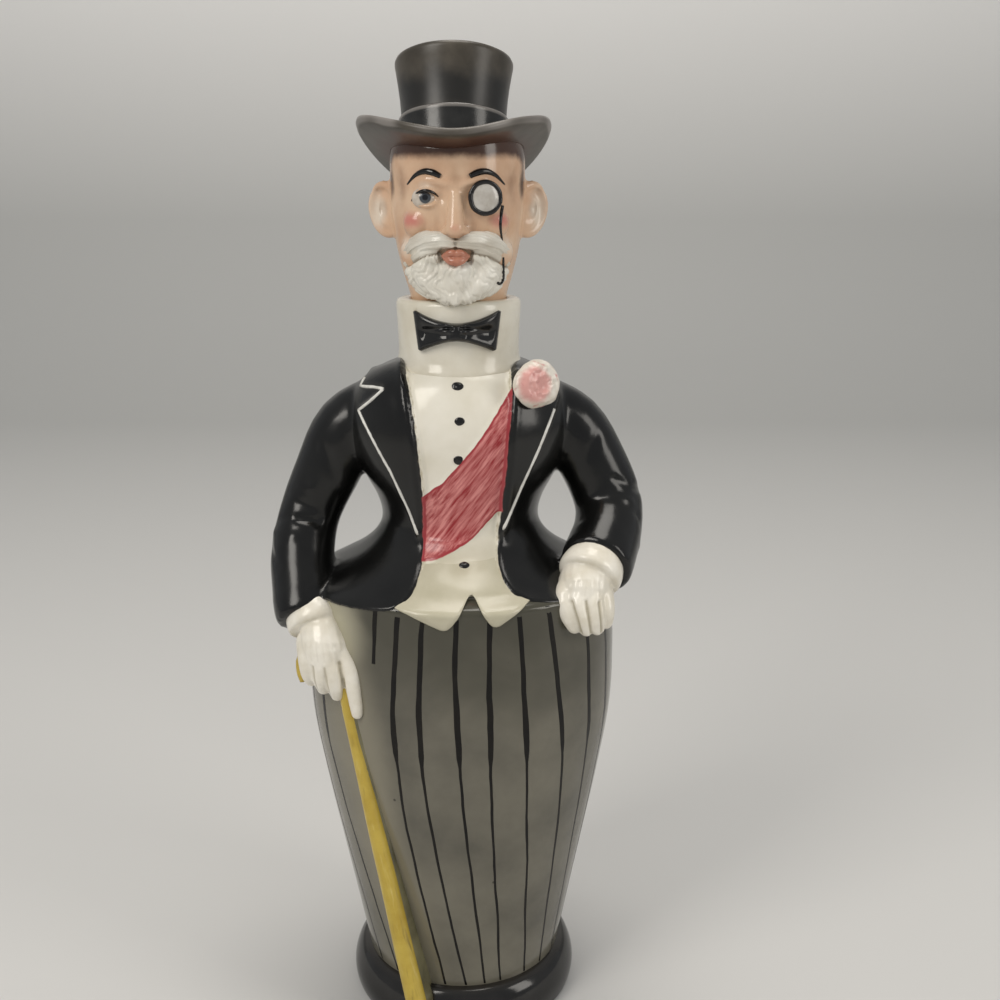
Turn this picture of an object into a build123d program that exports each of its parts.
"""A slip-cast figural decanter: a gentleman in evening dress whose head is the stopper.

The figure stands on the origin, faces -Y and has +Z up. Every length is in millimetres.
"""

from build123d import *
import os

os.makedirs("parts", exist_ok=True)

# The clay wall of every hollow casting, and the two gaps left between parts that move
casting_wall = 4.0
seat_gap = 0.3
cork_gap = 0.05
overrun = 5.0

# The foot and the striped trousers, which hold most of the drink
foot_height = 17.0
foot_width = 72.0
foot_floor_width = 66.0
foot_top_width = 66.0
trouser_hem_width = 61.0
trouser_top_height = 140.0
hip_width = 93.5
hip_depth = 80.0
trouser_height_shares = (0.0, 0.15, 0.33, 0.5, 0.67, 0.82, 1.0)
trouser_width_shares = (0.0, 0.22, 0.5, 0.76, 0.97, 1.0, 0.93)
trouser_depth_shares = (0.0, 0.24, 0.55, 0.82, 1.0, 1.03, 1.03)

# The torso in its tailcoat: rings from the hem up to the root of the collar
hem_height = 139.5
shirt_top_height = 206.5
hem_width = 94.5
hem_depth = 83.5
waist_width = 46.6
waist_depth = 47.0
chest_width = 66.0
chest_depth = 53.0
collar_root_width = 37.0
coat_relief = 1.8
lapel_relief = 1.1
waistcoat_inset = 0.6
sash_relief = 0.6
# Each ring: how far up it is, and how far its size goes from one named size to the next
skirt_ring_shares = ((0.0, 0.0), (0.04, 0.05), (0.10, 0.40), (0.16, 0.68), (0.23, 0.90), (0.31, 1.0))
chest_ring_shares = ((0.41, 0.16), (0.50, 0.50), (0.60, 0.80), (0.72, 1.0))
shoulder_ring_shares = ((0.83, 0.10), (0.92, 0.34), (0.97, 0.66), (1.0, 1.0))

# The opening of the coat and what shows in it, seen from the front
opening_half_width = 15.5
opening_neck_share = 0.9
opening_waist_half_width = 10.6
opening_waist_height = 160.0
opening_corner_half_width = 12.6
opening_corner_height = 148.0
opening_hem_half_width = 24.0
lapel_half_width = 28.3
lapel_peak_height = 194.2
lapel_notch_half_width = 21.0
lapel_notch_height = 200.8
lapel_collar_half_width = 27.8
lapel_collar_height = 202.5
lapel_foot_height = 159.0
waistcoat_half_width = 17.6
waistcoat_point_half_width = 8.0
waistcoat_point_height = 136.4
waistcoat_notch_height = 145.0
sash_shoulder = (15.8, 203.5)
sash_upper_bend = (3.5, 183.5)
sash_upper_hip = (-12.5, 169.0)
sash_lower_hip = (-12.5, 152.6)
sash_lower_bend = (4.5, 158.8)
sash_lower_end = (15.8, 170.0)
stud_radius = 1.3
stud_relief = 0.5
stud_heights = (202.0, 192.8, 181.4, 152.4)

# The stand-up collar is the neck of the bottle
collar_width = 36.0
collar_height = 18.5
collar_edge_radius = 2.2
collar_recess_width = 28.2
collar_recess_depth = 5.0
neck_bore_width = 21.0

# The stopper's plug and its cork sleeve
cork_length = 15.0
plug_width = 15.0
plug_reach = 2.0
plug_bore_width = 8.0

# The head, a hollow casting under a top hat that leans back
head_height = 45.0
head_width = 38.0
head_depth = 41.0
head_neck_width = 27.4
head_height_shares = (0.0, 0.15, 0.36, 0.6, 0.8, 1.0)
head_width_shares = (0.72, 0.82, 0.93, 1.0, 1.0, 0.96)
head_set_back = 1.0
head_wall = 3.6
head_mouth_width = 20.0
eye_line_height = 253.0
eye_spacing = 16.0
eye_radius = 3.4
nose_length = 10.0
nose_drop_share = 0.85
nose_tip_radius = 3.0
nose_bridge_radius = 2.2
nose_reach = 3.6
nostril_radius = 2.3
ear_height = 17.0
ear_thickness = 4.6
ear_breadth = 13.0
ear_lean = 35.0
ear_edge_radius = 1.5
ear_rim = 2.6
ear_bowl_depth = 1.4
beard_width = 27.5
beard_tip_height = 223.2
beard_top_height = 237.0
beard_depth = 19.0
beard_height_shares = (0.0, 0.12, 0.35, 0.65, 1.0)
beard_width_shares = (0.22, 0.5, 0.8, 1.0, 0.96)
beard_depth_shares = (0.3, 0.62, 0.9, 1.0, 0.86)
beard_reach = 22.8
moustache_length = 13.0
moustache_radius = 3.0
moustache_drop_share = 1.1
moustache_bend_share = 0.12
moustache_end_radius = 1.5
mouth_width = 7.0
lip_radius = 1.3
mouth_drop_share = 1.3
monocle_width = 9.6
monocle_rim = 1.5
monocle_lens_thickness = 1.0
monocle_reach = 1.6

# The top hat
hat_lean = 13.0
hat_shift = -1.0
hat_set_back = -0.5
brim_lean = 20.0
brim_height = 260.9
brim_width = 55.0
brim_length = 58.5
brim_thickness = 2.4
brim_roll = 11.0
brim_edge_radius = 0.9
crown_foot_height = 258.5
crown_height = 33.4
crown_height_shares = (0.0, 0.55, 1.0)
crown_root_width = 29.6
crown_waist_width = 29.8
crown_top_width = 33.4
crown_edge_radius = 2.0
crown_wall = 3.0
hat_band_height = 16.3
hat_band_relief = 0.7

# The bow tie
bow_width = 25.0
bow_height = 11.6
bow_waist_height = 7.4
bow_thickness = 4.2
bow_centre_height = 216.8
bow_edge_radius = 0.8
knot_width = 5.0
knot_height = 7.6

# The flower in the buttonhole, seven petals round a bud
flower_centre = (22.2, 201.8)
flower_radius = 6.8
petal_radius = 3.5
petal_count = 7
bud_radius = 3.9
flower_set_in = 1.2

# The arms: where each sleeve runs, (side, front, height), and its radius there
right_sleeve_route = (
    ((-21.0, 2.0, 192.5), 10.4),
    ((-32.8, 2.0, 186.0), 10.6),
    ((-40.2, 1.5, 172.5), 9.9),
    ((-45.6, 0.0, 160.0), 9.2),
    ((-47.2, -6.5, 149.0), 9.4),
    ((-46.2, -13.0, 140.6), 9.2),
    ((-44.7, -19.2, 133.6), 8.8),
)
left_sleeve_route = (
    ((21.0, 2.0, 192.5), 10.4),
    ((32.6, 2.0, 186.5), 10.6),
    ((40.2, 1.5, 175.0), 10.2),
    ((44.6, 0.0, 164.0), 10.2),
    ((44.8, -4.0, 154.0), 10.6),
    ((42.6, -10.5, 147.8), 10.4),
    ((40.0, -16.0, 144.6), 10.0),
)
cuff_length = 4.6
cuff_inset = 0.9
cuff_edge_radius = 0.9
cuff_overlap = 2.0

# The gloves: where the palm runs, its breadth and thickness, and the fingers
right_palm_route = (
    ((-44.4, -20.2, 132.2), 13.6, 10.6),
    ((-41.8, -25.0, 124.6), 16.6, 12.0),
    ((-39.0, -27.6, 116.4), 17.4, 11.0),
)
right_finger_ends = (
    ((-44.6, -26.4, 120.6), (-44.0, -26.4, 117.2)),
    ((-41.2, -28.4, 119.8), (-40.7, -28.6, 115.2)),
    ((-37.7, -29.6, 119.0), (-37.0, -29.8, 113.4)),
    ((-33.2, -30.4, 119.0), (-30.3, -31.6, 109.2)),
)
left_palm_route = (
    ((38.9, -17.0, 142.8), 16.0, 12.0),
    ((37.2, -22.5, 140.4), 18.0, 12.4),
    ((36.0, -28.0, 137.4), 17.6, 10.6),
)
left_finger_ends = (
    ((30.8, -32.6, 138.6), (31.0, -33.6, 132.6)),
    ((34.8, -31.6, 138.0), (34.6, -33.0, 130.6)),
    ((38.6, -30.0, 138.0), (38.2, -31.6, 130.6)),
    ((42.2, -27.6, 138.6), (41.8, -29.4, 132.2)),
)
finger_radius = 2.5

# The walking cane and the clay web that ties it to the trouser leg
cane_grip_point = (-34.4, -28.6, 117.0)
cane_foot_point = (-12.2, -38.4, 0.0)
cane_top_radius = 2.0
cane_foot_radius = 3.3
crook_rise = 7.5
crook_span = 15.0
crook_set_back = 10.0
web_thickness = 3.4
web_reach = 10.0
web_start_share = 0.1
web_end_share = 0.03


def share_between(low, high, share):
    return low + (high - low) * share


def oval_loft(rings):
    """A solid through horizontal ovals, each given as height, width, depth and centre Y."""
    with BuildPart() as body:
        for height, width, depth, centre_y in rings:
            with BuildSketch(Plane.XY.offset(height)):
                with Locations((0, centre_y)):
                    Ellipse(width / 2, depth / 2)
        loft()
    return body.part


def route_planes(points):
    """A plane across the route at each of its points, square to the route there."""
    planes = []
    for index, point in enumerate(points):
        before = Vector(points[max(index - 1, 0)])
        after = Vector(points[min(index + 1, len(points) - 1)])
        planes.append(Plane(origin=point, x_dir=(1, 0, 0), z_dir=after - before))
    return planes


def largest_solid(shape):
    return shape.solids().sort_by(SortBy.VOLUME)[-1]


def finish(part, label, material_colour):
    part.label = label
    part.color = Color(*material_colour)
    export_step(part, f"parts/{label}.step")


# Trousers: a barrel that narrows to the foot
def trousers(inset, floor_height, top_height):
    rings = []
    for up, wide, deep in zip(trouser_height_shares, trouser_width_shares, trouser_depth_shares):
        rings.append((
            share_between(foot_height - coat_relief, trouser_top_height, up),
            share_between(trouser_hem_width, hip_width, wide) - 2 * inset,
            share_between(trouser_hem_width, hip_depth, deep) - 2 * inset,
            0,
        ))
    barrel = oval_loft(rings)
    with BuildPart() as cut_barrel:
        add(barrel)
        with BuildSketch(Plane.XY.offset(floor_height)):
            Rectangle(2 * hip_width, 2 * hip_width)
        extrude(amount=top_height - floor_height, mode=Mode.INTERSECT)
    return cut_barrel.part


# Torso: rings through hem, waist, chest, shoulders and the root of the collar
def torso(inset):
    rise = shirt_top_height - hem_height
    rings = []
    stages = (
        (skirt_ring_shares, (hem_width, hem_depth), (waist_width, waist_depth)),
        (chest_ring_shares, (waist_width, waist_depth), (chest_width, chest_depth)),
        (shoulder_ring_shares, (chest_width, chest_depth), (collar_root_width, collar_root_width)),
    )
    for ring_shares, low_size, high_size in stages:
        for up, along in ring_shares:
            rings.append((
                hem_height + up * rise,
                share_between(low_size[0], high_size[0], along) - 2 * inset,
                share_between(low_size[1], high_size[1], along) - 2 * inset,
                0,
            ))
    return oval_loft(rings)


# Front outlines: each is drawn on the XZ plane, mirrored where the coat is, and pushed forwards
def front_prism(outline_edges):
    with BuildPart() as prism:
        with BuildSketch(Plane.XZ) as outline:
            with BuildLine():
                outline_edges()
            make_face()
        extrude(outline.sketch, amount=hip_depth, dir=(0, -1, 0))
    return prism.part


def opening_outline():
    right_edge = [
        (opening_half_width, shirt_top_height + overrun),
        (opening_half_width, share_between(opening_waist_height, shirt_top_height, opening_neck_share)),
        (opening_waist_half_width, opening_waist_height),
        (opening_corner_half_width, opening_corner_height),
        (opening_hem_half_width, hem_height - overrun / 2),
    ]
    left_edge = [(-x, z) for x, z in reversed(right_edge)]
    Spline(right_edge)
    Line(right_edge[-1], left_edge[0])
    Spline(left_edge)
    Line(left_edge[-1], right_edge[0])


def lapel_outline():
    Polyline(
        (opening_half_width / 2, shirt_top_height),
        (lapel_collar_half_width - lapel_relief, shirt_top_height),
        (lapel_collar_half_width, lapel_collar_height),
        (lapel_notch_half_width, lapel_notch_height),
        (lapel_half_width, lapel_peak_height),
        (opening_waist_half_width + lapel_relief, lapel_foot_height),
        (0, lapel_foot_height),
        (opening_half_width / 2, shirt_top_height),
    )


def waistcoat_outline():
    Polyline(
        (0, waistcoat_notch_height),
        (waistcoat_point_half_width, waistcoat_point_height),
        (waistcoat_half_width, hem_height + coat_relief),
        (opening_hem_half_width, opening_corner_height),
        (opening_half_width, opening_waist_height),
        (-opening_half_width, opening_waist_height),
        (-opening_hem_half_width, opening_corner_height),
        (-waistcoat_half_width, hem_height + coat_relief),
        (-waistcoat_point_half_width, waistcoat_point_height),
        (0, waistcoat_notch_height),
    )


def sash_outline():
    Spline(sash_shoulder, sash_upper_bend, sash_upper_hip)
    Line(sash_upper_hip, sash_lower_hip)
    Spline(sash_lower_hip, sash_lower_bend, sash_lower_end)
    Line(sash_lower_end, sash_shoulder)


coat_block = torso(0)
shirt_block = torso(coat_relief)

opening_prism = front_prism(opening_outline)

with BuildPart() as coat:
    add(coat_block)
    add(opening_prism, mode=Mode.SUBTRACT)

lapel_prism = front_prism(lapel_outline)
with BuildPart() as lapels:
    add(torso(-lapel_relief))
    add(lapel_prism, mode=Mode.INTERSECT)
    add(opening_prism, mode=Mode.SUBTRACT)
    mirror(about=Plane.YZ)

# The skirt of the waistcoat lies over the trousers, so its block reaches lower than the hem
waistcoat_block = oval_loft([
    (waistcoat_point_height - coat_relief, hem_width, hem_depth, 0),
    (hem_height, hem_width - 2 * waistcoat_inset, hem_depth - 2 * waistcoat_inset, 0),
    (share_between(hem_height, shirt_top_height, skirt_ring_shares[1][0]),
     share_between(hem_width, waist_width, skirt_ring_shares[1][1]) - 2 * waistcoat_inset,
     share_between(hem_depth, waist_depth, skirt_ring_shares[1][1]) - 2 * waistcoat_inset, 0),
])
with BuildPart() as waistcoat:
    add(torso(coat_relief - waistcoat_inset) + waistcoat_block)
    add(front_prism(waistcoat_outline), mode=Mode.INTERSECT)

with BuildPart() as studs:
    with BuildSketch(Plane.XZ):
        with Locations([(0, height) for height in stud_heights]):
            Circle(stud_radius)
    extrude(amount=hip_depth)
    add(torso(coat_relief - waistcoat_inset - stud_relief), mode=Mode.INTERSECT)

with BuildPart() as sash:
    add(torso(coat_relief - sash_relief - waistcoat_inset))
    add(front_prism(sash_outline) & opening_prism, mode=Mode.INTERSECT)

# Foot: a plain black plinth with a bulging edge
with BuildPart() as foot:
    with BuildSketch(Plane.XZ):
        with BuildLine():
            Polyline((0, foot_height), (0, 0), (foot_floor_width / 2, 0))
            ThreePointArc(
                (foot_floor_width / 2, 0),
                (foot_width / 2, foot_height / 2),
                (foot_top_width / 2, foot_height),
            )
            Line((foot_top_width / 2, foot_height), (0, foot_height))
        make_face()
    revolve(axis=Axis.Z)
    fillet(foot.edges().filter_by(GeomType.CIRCLE).sort_by(Axis.Z)[-1], radius=coat_relief)

# Collar: a straight stand-up band with a softened top edge
collar_top_height = shirt_top_height + collar_height
with BuildPart() as collar:
    with BuildSketch(Plane.XY.offset(shirt_top_height - coat_relief)):
        Circle(collar_width / 2)
    extrude(amount=collar_height + coat_relief)
    fillet(collar.edges().group_by(Axis.Z)[-1], radius=collar_edge_radius)

# Web: the clay that joins the cane to the leg
cane_line = Vector(cane_foot_point) - Vector(cane_grip_point)
web_inward = Vector(0, 1, 0)
with BuildPart() as web:
    web_start = Vector(cane_grip_point) + cane_line * web_start_share
    web_end = Vector(cane_foot_point) - cane_line * web_end_share
    web_plane = Plane(
        origin=web_start, x_dir=cane_line, z_dir=cane_line.cross(web_inward)
    )
    with BuildSketch(web_plane):
        with BuildLine():
            web_length = (web_end - web_start).length
            Polyline((0, 0), (web_length, 0), (web_length, web_reach), (0, web_reach), (0, 0))
        make_face()
    extrude(amount=web_thickness / 2, both=True)

solid_trousers = trousers(0, foot_height - coat_relief, trouser_top_height)

with BuildPart() as vessel_block:
    add(foot.part)
    add(solid_trousers)
    add(web.part)
    add(shirt_block)
    add(waistcoat.part)
    add(coat.part)
    add(lapels.part)
    add(studs.part)
    add(sash.part)
    add(collar.part)

# Vessel: the whole casting, hollowed to an even wall, with a bored neck
cavity_floor_height = foot_height / 2
cavity_belly = trousers(casting_wall, foot_height, trouser_top_height)
cavity_chest = Pos(0, 0, -casting_wall / 2) * torso(coat_relief + casting_wall)
with BuildPart() as vessel:
    add(vessel_block.part)
    add(cavity_belly, mode=Mode.SUBTRACT)
    add(cavity_chest, mode=Mode.SUBTRACT)
    with BuildSketch(Plane.XY.offset(foot_height + casting_wall)):
        Circle(trouser_hem_width / 2 - casting_wall)
    extrude(amount=-(foot_height + casting_wall - cavity_floor_height), mode=Mode.SUBTRACT)
    with BuildSketch(Plane.XY.offset(collar_top_height)):
        Circle(neck_bore_width / 2)
    extrude(amount=-(collar_height + casting_wall), mode=Mode.SUBTRACT)
    with BuildSketch(Plane.XY.offset(collar_top_height)):
        Circle(collar_recess_width / 2)
    extrude(amount=-collar_recess_depth, mode=Mode.SUBTRACT)
finish(vessel.part, "vessel", (0.86, 0.84, 0.78))


# Sleeves: each arm is its own casting, stuck to the shoulder and to the hip
def sleeve_loft(route):
    planes = route_planes([point for point, radius in route])
    with BuildPart() as sleeve:
        for plane, (point, radius) in zip(planes, route):
            with BuildSketch(plane):
                Circle(radius)
        loft()
    return sleeve.part


def cuff_loft(route):
    end_plane = route_planes([point for point, radius in route])[-1]
    end_radius = route[-1][1]
    with BuildPart() as cuff:
        with BuildSketch(end_plane.offset(-cuff_overlap)):
            Circle(end_radius - cuff_inset)
        extrude(amount=cuff_length + cuff_overlap)
        fillet(cuff.edges().sort_by(Axis(end_plane.origin, end_plane.z_dir))[-1], radius=cuff_edge_radius)
    return cuff.part


def glove_loft(palm_route, finger_ends):
    """The back of a hand with four fingers that lie side by side."""
    planes = route_planes([point for point, breadth, thickness in palm_route])
    with BuildPart() as glove:
        for plane, (point, breadth, thickness) in zip(planes, palm_route):
            with BuildSketch(plane):
                Ellipse(breadth / 2, thickness / 2)
        loft()
        for knuckle, tip in finger_ends:
            finger_plane = Plane(origin=knuckle, z_dir=Vector(tip) - Vector(knuckle))
            with BuildSketch(finger_plane):
                Circle(finger_radius)
            extrude(amount=(Vector(tip) - Vector(knuckle)).length)
            with Locations(knuckle, tip):
                Sphere(finger_radius)
    return glove.part


right_sleeve_block = sleeve_loft(right_sleeve_route)
left_sleeve_block = sleeve_loft(left_sleeve_route)
right_sleeve = largest_solid(right_sleeve_block - vessel_block.part)
left_sleeve = largest_solid(left_sleeve_block - vessel_block.part)

right_cuff = cuff_loft(right_sleeve_route)
left_cuff = cuff_loft(left_sleeve_route)
right_glove_block = right_cuff + glove_loft(right_palm_route, right_finger_ends)
left_glove_block = left_cuff + glove_loft(left_palm_route, left_finger_ends)

# Cane: a tapered stick with a crook that the hand closes over
shaft_plane = Plane(origin=cane_grip_point, z_dir=cane_line)
with BuildPart() as cane_block:
    with BuildSketch(shaft_plane):
        Circle(cane_top_radius)
    with BuildSketch(shaft_plane.offset(cane_line.length + cane_foot_radius)):
        Circle(cane_foot_radius)
    loft()
    with BuildSketch(Plane.XY):
        Rectangle(2 * foot_width, 2 * foot_width)
    extrude(amount=-foot_height, mode=Mode.SUBTRACT)
    crook_start = Vector(cane_grip_point)
    crook_end = crook_start + Vector(-crook_span, crook_set_back, 0)
    crook_top = crook_start + Vector(-crook_span / 2, crook_set_back / 2, crook_rise)
    with BuildLine():
        crook_arc = ThreePointArc(crook_start, crook_top, crook_end)
    with BuildSketch(Plane(origin=crook_start, z_dir=crook_arc % 0)):
        Circle(cane_top_radius)
    sweep(path=crook_arc)
    with Locations(crook_start, crook_end):
        Sphere(cane_top_radius)
cane = largest_solid(cane_block.part - vessel_block.part)
finish(cane, "cane", (0.80, 0.68, 0.20))

# Gloves: the right hand is closed round the cane, so the cane passes through it
right_glove = largest_solid(right_glove_block - vessel_block.part - right_sleeve_block - cane)
left_glove = largest_solid(left_glove_block - vessel_block.part - left_sleeve_block)
for piece, label in ((right_sleeve, "right_sleeve"), (left_sleeve, "left_sleeve")):
    finish(piece, label, (0.10, 0.10, 0.11))
for piece, label in ((right_glove, "right_glove"), (left_glove, "left_glove")):
    finish(piece, label, (0.90, 0.88, 0.82))

# Bow tie: two wings that spread from a narrow waist, and a knot
bow_plane = Plane.XZ.offset(collar_width / 2 - bow_thickness / 2)


def bow_outline():
    Polyline(
        (0, bow_centre_height + bow_waist_height / 2),
        (bow_width / 2, bow_centre_height + bow_height / 2),
        (bow_width / 2 - bow_edge_radius, bow_centre_height - bow_height / 2),
        (0, bow_centre_height - bow_waist_height / 2),
        (-bow_width / 2 + bow_edge_radius, bow_centre_height - bow_height / 2),
        (-bow_width / 2, bow_centre_height + bow_height / 2),
        (0, bow_centre_height + bow_waist_height / 2),
    )


with BuildPart() as bow_block:
    with BuildSketch(bow_plane):
        with BuildLine():
            bow_outline()
        make_face()
    extrude(amount=bow_thickness)
    fillet(bow_block.edges().group_by(Axis.Y)[0], radius=bow_edge_radius)
    with BuildSketch(bow_plane):
        with Locations((0, bow_centre_height)):
            RectangleRounded(knot_width, knot_height, bow_edge_radius)
    extrude(amount=bow_thickness + bow_edge_radius)
    with BuildSketch(Plane.XZ):
        with BuildLine():
            bow_outline()
        make_face()
    extrude(amount=collar_width / 2)
bow_tie = largest_solid(bow_block.part - vessel_block.part)
finish(bow_tie, "bow_tie", (0.08, 0.08, 0.09))

# Flower: petals round a bud, on the left lapel
chest_front = chest_depth / 2
flower_x, flower_z = flower_centre
flower_y = -chest_front * (1 - (2 * flower_x / chest_width) ** 2) ** 0.5 + flower_set_in
flower_out = Vector(flower_x * chest_depth / chest_width, flower_y * chest_width / chest_depth, 0)
flower_plane = Plane(origin=(flower_x, flower_y, flower_z), x_dir=(0, 0, 1), z_dir=flower_out)
with BuildPart() as flower_block:
    with Locations(flower_plane):
        with PolarLocations(flower_radius - petal_radius, petal_count):
            Sphere(petal_radius)
        with Locations((0, 0, bud_radius / 2)):
            Sphere(bud_radius)
boutonniere = largest_solid(flower_block.part - vessel_block.part)
finish(boutonniere, "boutonniere", (0.92, 0.76, 0.74))

# Cork sleeve: a straight cork ring that grips the neck
ledge_height = collar_top_height - collar_recess_depth
with BuildPart() as cork_sleeve:
    with BuildSketch(Plane.XY.offset(ledge_height)):
        Circle(neck_bore_width / 2 - cork_gap)
        Circle(plug_width / 2 + cork_gap, mode=Mode.SUBTRACT)
    extrude(amount=-cork_length)
finish(cork_sleeve.part, "cork_sleeve", (0.72, 0.53, 0.34))

# Hat: brim rolled up at the sides, crown that flares to a soft top and leans back less than the brim
hat_plane = Plane(
    origin=(hat_shift, hat_set_back, crown_foot_height), z_dir=(0, 0, 1)
).rotated((-hat_lean, 0, 0))
brim_plane = Plane(
    origin=(hat_shift, hat_set_back, brim_height), z_dir=(0, 0, 1)
).rotated((-brim_lean, 0, 0))
brim_sagitta_radius = (brim_width**2 / 4 + brim_roll**2) / (2 * brim_roll)


def brim_slab(floor_drop, roof_rise):
    """The brim's curved sheet, from floor_drop under its curve to roof_rise over it."""
    section_plane = Plane(origin=brim_plane.origin, x_dir=brim_plane.x_dir, z_dir=-brim_plane.y_dir)
    edge_x = brim_width / 2 + overrun
    edge_z = brim_roll * (edge_x / (brim_width / 2)) ** 2
    with BuildPart() as slab:
        with BuildSketch(section_plane):
            with BuildLine():
                ThreePointArc((-edge_x, edge_z - floor_drop), (0, -floor_drop), (edge_x, edge_z - floor_drop))
                Line((edge_x, edge_z - floor_drop), (edge_x, edge_z + roof_rise))
                ThreePointArc((edge_x, edge_z + roof_rise), (0, roof_rise), (-edge_x, edge_z + roof_rise))
                Line((-edge_x, edge_z + roof_rise), (-edge_x, edge_z - floor_drop))
            make_face()
        extrude(amount=brim_length, both=True)
    return slab.part


with BuildPart() as brim:
    add(brim_slab(brim_thickness / 2, brim_thickness / 2))
    with BuildSketch(brim_plane.offset(-overrun)):
        Ellipse(brim_width / 2, brim_length / 2)
    extrude(amount=4 * overrun, mode=Mode.INTERSECT)
    fillet(brim.edges(), radius=brim_edge_radius)

crown_axis = Axis(hat_plane.origin, hat_plane.z_dir)
with BuildPart() as crown:
    for up, width in zip(crown_height_shares, (crown_root_width, crown_waist_width, crown_top_width)):
        with BuildSketch(hat_plane.offset(up * crown_height)):
            Circle(width / 2)
    loft()
    fillet(crown.edges().sort_by(crown_axis)[-1], radius=crown_edge_radius)

with BuildPart() as hat_band:
    with BuildSketch(hat_plane):
        Circle(crown_waist_width / 2 + hat_band_relief)
    extrude(amount=hat_band_height)
    fillet(hat_band.edges().sort_by(crown_axis)[-1], radius=hat_band_relief)

# The hat is hollow and open underneath, over the open top of the head
hat_bore_radius = crown_root_width / 2 - crown_wall
with BuildPart() as hat_bore:
    with BuildSketch(hat_plane.offset(-2 * overrun)):
        Circle(hat_bore_radius)
    extrude(amount=2 * overrun + crown_height - crown_wall)
below_brim = brim_slab(2 * crown_height, 0)
top_hat = largest_solid(brim.part + (crown.part + hat_band.part - below_brim) - hat_bore.part)
finish(top_hat, "top_hat", (0.22, 0.22, 0.21))

# Head: a hollow casting that ends in the plug of the stopper
head_base_height = collar_top_height
neck_floor_height = ledge_height + seat_gap


def head_loft(inset):
    rings = []
    for up, wide in zip(head_height_shares, head_width_shares):
        rings.append((
            head_base_height + up * head_height,
            head_width * wide - 2 * inset,
            head_depth * wide - 2 * inset,
            head_set_back,
        ))
    return oval_loft(rings)


def capsule(start, end, start_radius, end_radius):
    """A round bar with ball ends, thicker at one end than the other."""
    line = Vector(end) - Vector(start)
    bar_plane = Plane(origin=start, z_dir=line)
    with BuildPart() as bar:
        with BuildSketch(bar_plane):
            Circle(start_radius)
        with BuildSketch(bar_plane.offset(line.length)):
            Circle(end_radius)
        loft()
        with Locations(start):
            Sphere(start_radius)
        with Locations(end):
            Sphere(end_radius)
    return bar.part


face_y = head_set_back - head_depth / 2
nose_tip = (0, face_y - nose_reach + nose_tip_radius / 2, eye_line_height - nose_length * nose_drop_share)
nose_root = (0, face_y + nose_bridge_radius, eye_line_height + nose_bridge_radius)
nose = capsule(nose_root, nose_tip, nose_bridge_radius, nose_tip_radius)
moustache_root = (
    moustache_radius / 2,
    nose_tip[1] + moustache_radius / 2,
    nose_tip[2] - moustache_drop_share * nose_tip_radius,
)
moustache_end = (
    moustache_length, face_y + head_depth * moustache_bend_share, moustache_root[2] - moustache_radius
)
moustache = capsule(moustache_root, moustache_end, moustache_radius, moustache_end_radius)
mouth_height = moustache_root[2] - mouth_drop_share * moustache_radius
lip_y = face_y - lip_radius
lip = capsule(
    (-mouth_width / 2, lip_y, mouth_height), (mouth_width / 2, lip_y, mouth_height), lip_radius, lip_radius
)

beard_rings = []
for up, wide, deep in zip(beard_height_shares, beard_width_shares, beard_depth_shares):
    beard_rings.append((
        share_between(beard_tip_height, beard_top_height, up),
        beard_width * wide,
        beard_depth * deep,
        -beard_reach + beard_depth * deep / 2,
    ))
beard = oval_loft(beard_rings)

ear_plane = Plane(
    origin=(head_width / 2 + ear_thickness / 3, head_set_back, eye_line_height - ear_height / 4),
    x_dir=(0, 0, 1),
    z_dir=Vector(0, -1, 0).rotate(Axis.Z, ear_lean),
)
with BuildPart() as ear:
    with BuildSketch(ear_plane):
        Ellipse(ear_height / 2, ear_breadth / 2)
    extrude(amount=-ear_thickness)
    fillet(ear.edges(), radius=ear_edge_radius)
    with BuildSketch(ear_plane):
        Ellipse(ear_height / 2 - ear_rim, ear_breadth / 2 - ear_rim)
    extrude(amount=-ear_bowl_depth, mode=Mode.SUBTRACT)
left_ear = ear.part
right_ear = left_ear.mirror(Plane.YZ)

with BuildPart() as collar_clearance:
    with BuildSketch(Plane.XY.offset(collar_top_height - 2 * overrun)):
        Circle(collar_width / 2 + seat_gap)
    extrude(amount=2 * overrun + seat_gap)

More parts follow.
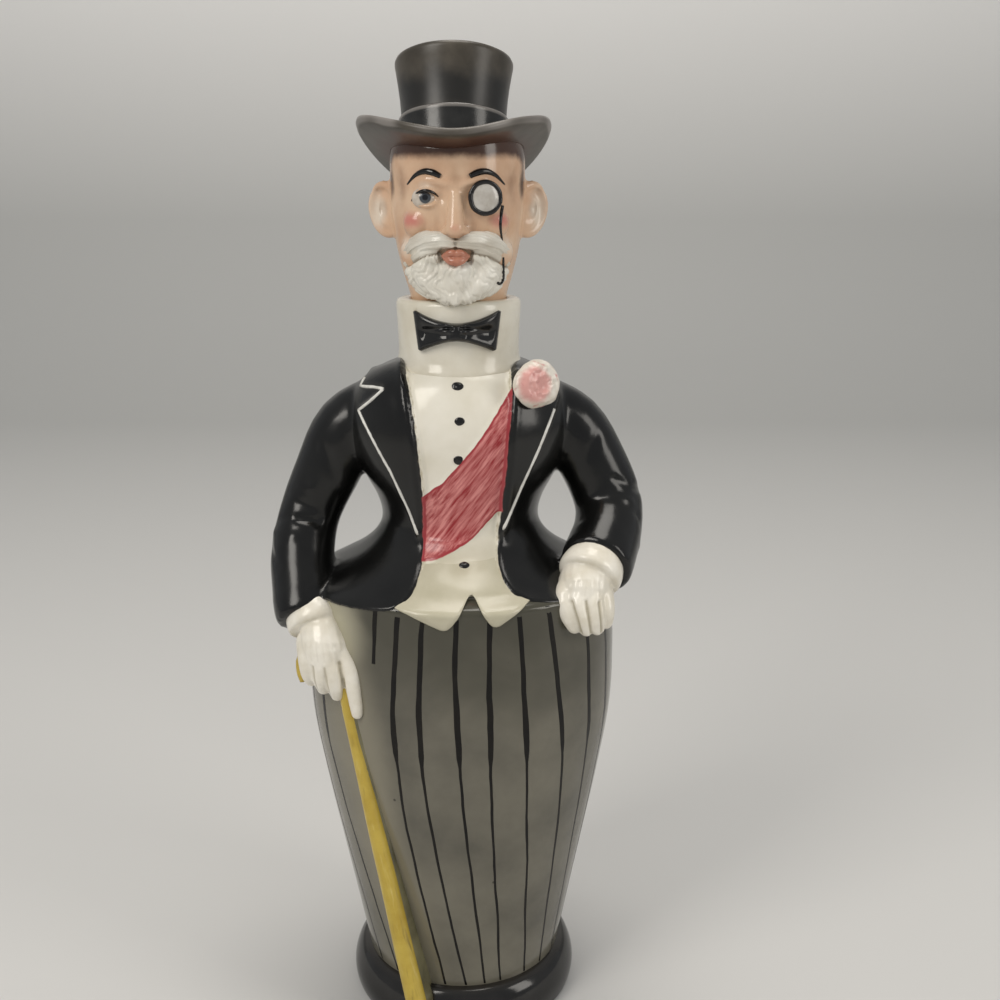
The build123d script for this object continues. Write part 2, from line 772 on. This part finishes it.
roof = brim_slab(brim_thickness / 2, 2 * crown_height)
head_block = head_loft(0) + nose + moustache + moustache.mirror(Plane.YZ) + lip + beard
head_block = head_block + left_ear + right_ear
with BuildPart() as head:
    add(head_block)
    with Locations(
        (eye_spacing / 2, face_y + eye_radius, eye_line_height),
        (-eye_spacing / 2, face_y + eye_radius, eye_line_height),
    ):
        Sphere(eye_radius)
    add(collar_clearance.part, mode=Mode.SUBTRACT)
    with BuildSketch(Plane.XY.offset(neck_floor_height)):
        Circle(head_neck_width / 2)
    extrude(amount=collar_recess_depth + head_wall)
    with BuildSketch(Plane.XY.offset(ledge_height - cork_length - plug_reach)):
        Circle(plug_width / 2)
    extrude(amount=cork_length + plug_reach + 2 * seat_gap)
    add(roof, mode=Mode.SUBTRACT)
head_cavity = head_loft(head_wall) - brim_slab(brim_thickness / 2 + head_wall, 2 * crown_height)
with BuildPart() as cavity_floor:
    with BuildSketch(Plane.XY.offset(head_base_height - head_wall)):
        Rectangle(2 * head_width, 2 * head_width)
    extrude(amount=2 * head_wall)
head_cavity = head_cavity - cavity_floor.part
with BuildPart() as plug_bore:
    with BuildSketch(Plane.XY.offset(ledge_height - cork_length - plug_reach)):
        Circle(plug_bore_width / 2)
    extrude(amount=cork_length + plug_reach + 2 * casting_wall + collar_recess_depth)
with BuildPart() as head_mouth:
    with BuildSketch(hat_plane.offset(-2 * overrun)):
        Circle(head_mouth_width / 2)
    extrude(amount=4 * overrun)
head_shell = largest_solid(head.part - head_cavity - plug_bore.part - head_mouth.part)
head_shell = largest_solid(head_shell - top_hat)

# Monocle: a rim and its lens, stuck over the left eye
monocle_plane = Plane(
    origin=(eye_spacing / 2, face_y - monocle_reach, eye_line_height), z_dir=(0, -1, 0)
)
with BuildPart() as monocle_block:
    with BuildSketch(monocle_plane):
        Circle(monocle_width / 2 - monocle_rim / 2)
    extrude(amount=-head_depth / 4)
    with BuildLine(monocle_plane):
        rim_circle = CenterArc((0, 0), monocle_width / 2 - monocle_rim / 2, 0, 360)
    with BuildSketch(Plane(origin=rim_circle @ 0, z_dir=rim_circle % 0)):
        Circle(monocle_rim / 2)
    sweep(path=rim_circle)
monocle = largest_solid(monocle_block.part - head_shell)
finish(monocle, "monocle", (0.12, 0.11, 0.11))
finish(head_shell, "head", (0.86, 0.68, 0.56))
